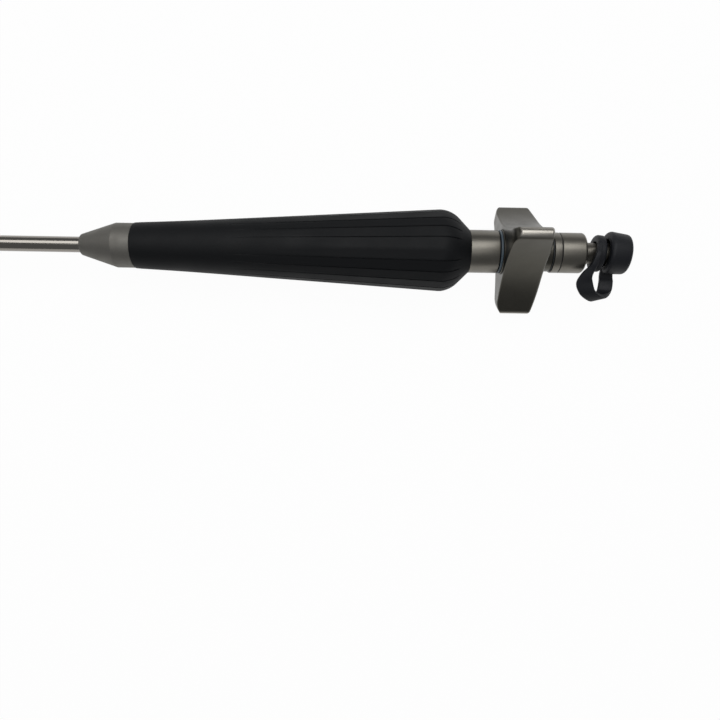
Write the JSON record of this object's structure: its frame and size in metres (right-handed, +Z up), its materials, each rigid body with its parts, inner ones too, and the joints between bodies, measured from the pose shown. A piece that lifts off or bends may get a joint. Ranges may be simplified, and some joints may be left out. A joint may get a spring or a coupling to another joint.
{
  "type": "laparoscopic retractor",
  "caption": "Straight laparoscopic retractor whose jointed tip curls into a triangle when the lobed knob is turned, with a capped flushing port.",
  "frame": {"origin": "on the instrument's axis at the front face of the nose cone, where the bare shaft leaves it", "axes": "+X along the axis to the rear, away from the tip; +Y in the plane of the bent links; +Z up from the table it lies on"},
  "size_m": [0.6359, 0.036, 0.0336],
  "materials": {
    "shaft_steel": "polished",
    "satin_steel": "bead-blasted satin",
    "port_steel": "fine turned",
    "grip_polymer": "matte black",
    "washer_polymer": "blue-grey",
    "inner_steel": "ground",
    "bronze": "machined",
    "seal_rubber": "matte",
    "cap_rubber": "matte black",
    "link_steel": "polished",
    "wire_steel": "drawn"
  },
  "bodies": {
    "handle": {"shaft_tube": "shaft_steel", "nose_cone": "satin_steel", "grip": "grip_polymer", "core_spindle": "shaft_steel", "thrust_washer": "washer_polymer", "rear_washer": "washer_polymer", "collar": "satin_steel", "housing_gasket": "seal_rubber", "rear_housing": "satin_steel", "luer_port": "port_steel", "port_o_ring": "seal_rubber", "chain_base": "link_steel"},
    "knob": {"knob": "satin_steel"},
    "puller": {"carrier_nut": "bronze", "cross_pin": "inner_steel", "drawbar": "inner_steel", "pull_rod": "inner_steel", "wire_clamp": "inner_steel", "tension_wires": "wire_steel"},
    "tether": {"tether_ring": "cap_rubber", "cap_strap": "cap_rubber"},
    "cap": {"cap": "cap_rubber"},
    "link_01": {"link_01": "link_steel"},
    "link_02": {"link_02": "link_steel"},
    "link_03": {"link_03": "link_steel"},
    "link_04": {"link_04": "link_steel"},
    "link_05": {"link_05": "link_steel"},
    "link_06": {"link_06": "link_steel"},
    "link_07": {"link_07": "link_steel"},
    "link_08": {"link_08": "link_steel"},
    "link_09": {"link_09": "link_steel"},
    "tip": {"tip_link": "link_steel", "tip_anchor": "inner_steel", "tip_cap": "link_steel"}
  },
  "joints": [
    {"name": "knob_turn", "type": "hinge", "parent": "handle", "child": "knob", "pos_m": [0.1405, 0, 0], "axis": [-1, 0, 0], "range_deg": [0, 1440], "deforming": ["tension_wires"]},
    {"name": "puller_slide", "type": "slide", "parent": "handle", "child": "puller", "axis": [1, 0, 0], "range_m": [0, 0.006]},
    {"name": "tether_swivel", "type": "hinge", "parent": "handle", "child": "tether", "pos_m": [0.16455, 0, 0], "axis": [1, 0, 0], "continuous": true},
    {"name": "cap_pull", "type": "slide", "parent": "tether", "child": "cap", "axis": [1, 0, 0], "range_m": [0, 0.012], "deforming": ["cap_strap"]},
    {"name": "hinge_01", "type": "hinge", "parent": "handle", "child": "link_01", "pos_m": [-0.285, 0, 0], "axis": [0, 0, 1], "range_deg": [0, 40]},
    {"name": "hinge_02", "type": "hinge", "parent": "link_01", "child": "link_02", "pos_m": [-0.309, 0, 0], "axis": [0, 0, 1], "range_deg": [-10, 0]},
    {"name": "hinge_03", "type": "hinge", "parent": "link_02", "child": "link_03", "pos_m": [-0.333, 0, 0], "axis": [0, 0, 1], "range_deg": [-36, 0]},
    {"name": "hinge_04", "type": "hinge", "parent": "link_03", "child": "link_04", "pos_m": [-0.345, 0, 0], "axis": [0, 0, 1], "range_deg": [-36, 0]},
    {"name": "hinge_05", "type": "hinge", "parent": "link_04", "child": "link_05", "pos_m": [-0.357, 0, 0], "axis": [0, 0, 1], "range_deg": [-36, 0]},
    {"name": "hinge_06", "type": "hinge", "parent": "link_05", "child": "link_06", "pos_m": [-0.377, 0, 0], "axis": [0, 0, 1], "range_deg": [-10, 0]},
    {"name": "hinge_07", "type": "hinge", "parent": "link_06", "child": "link_07", "pos_m": [-0.397, 0, 0], "axis": [0, 0, 1], "range_deg": [-36, 0]},
    {"name": "hinge_08", "type": "hinge", "parent": "link_07", "child": "link_08", "pos_m": [-0.409, 0, 0], "axis": [0, 0, 1], "range_deg": [-36, 0]},
    {"name": "hinge_09", "type": "hinge", "parent": "link_08", "child": "link_09", "pos_m": [-0.421, 0, 0], "axis": [0, 0, 1], "range_deg": [-36, 0]},
    {"name": "hinge_10", "type": "hinge", "parent": "link_09", "child": "tip", "pos_m": [-0.441, 0, 0], "axis": [0, 0, 1], "range_deg": [-10, 0]}
  ],
  "couplings": [
    {"joint": "puller_slide", "follows": "knob_turn", "m_per_rad": 0.00023873},
    {"joint": "hinge_01", "follows": "knob_turn", "ratio": 0.027778},
    {"joint": "hinge_02", "follows": "knob_turn", "ratio": -0.0069444},
    {"joint": "hinge_03", "follows": "knob_turn", "ratio": -0.025},
    {"joint": "hinge_04", "follows": "knob_turn", "ratio": -0.025},
    {"joint": "hinge_05", "follows": "knob_turn", "ratio": -0.025},
    {"joint": "hinge_06", "follows": "knob_turn", "ratio": -0.0069444},
    {"joint": "hinge_07", "follows": "knob_turn", "ratio": -0.025},
    {"joint": "hinge_08", "follows": "knob_turn", "ratio": -0.025},
    {"joint": "hinge_09", "follows": "knob_turn", "ratio": -0.025},
    {"joint": "hinge_10", "follows": "knob_turn", "ratio": -0.0069444}
  ]
}
